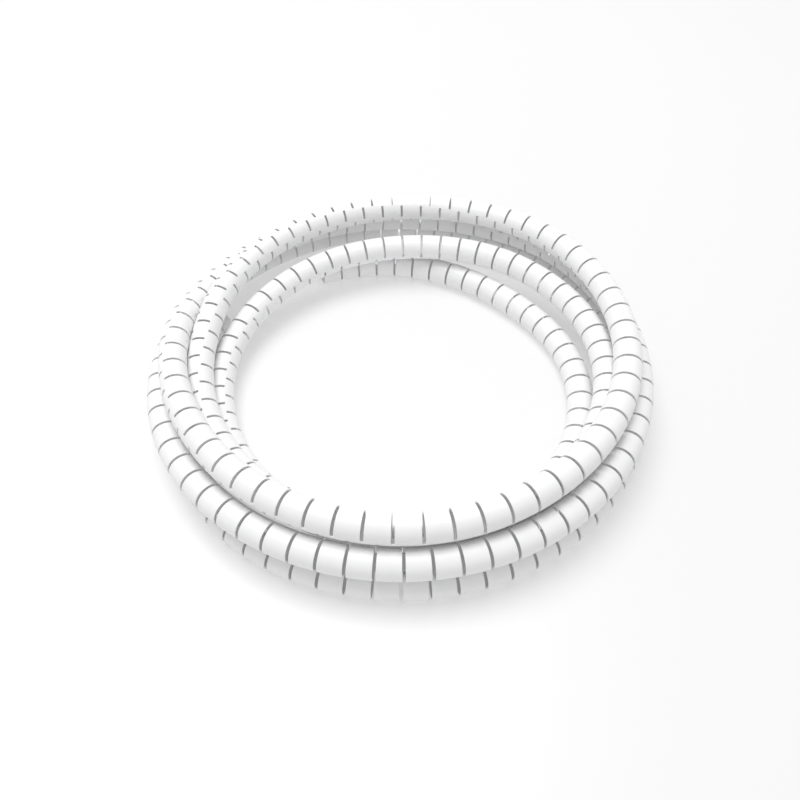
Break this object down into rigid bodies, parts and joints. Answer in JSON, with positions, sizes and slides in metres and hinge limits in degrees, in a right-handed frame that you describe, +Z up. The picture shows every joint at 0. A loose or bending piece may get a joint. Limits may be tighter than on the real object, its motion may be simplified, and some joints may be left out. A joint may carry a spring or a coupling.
{
  "type": "spiral cable wrap",
  "caption": "Flexible hollow cable tidy tube, slit across its wall, 20 mm by 4.9 m, lying in a loose coil of nearly five turns, cut square at both ends.",
  "frame": {"origin": "centre of the coil's footprint, on the floor that it lies on", "axes": "+Z up, along the coil's axis; +X to the picture's right; +Y away from the camera"},
  "size_m": [0.3722, 0.3757, 0.0593],
  "materials": {
    "white_polypropylene": "extruded satin white polypropylene, slightly translucent"
  },
  "bodies": {
    "root": {"wrap_tube": "white_polypropylene"}
  },
  "joints": []
}
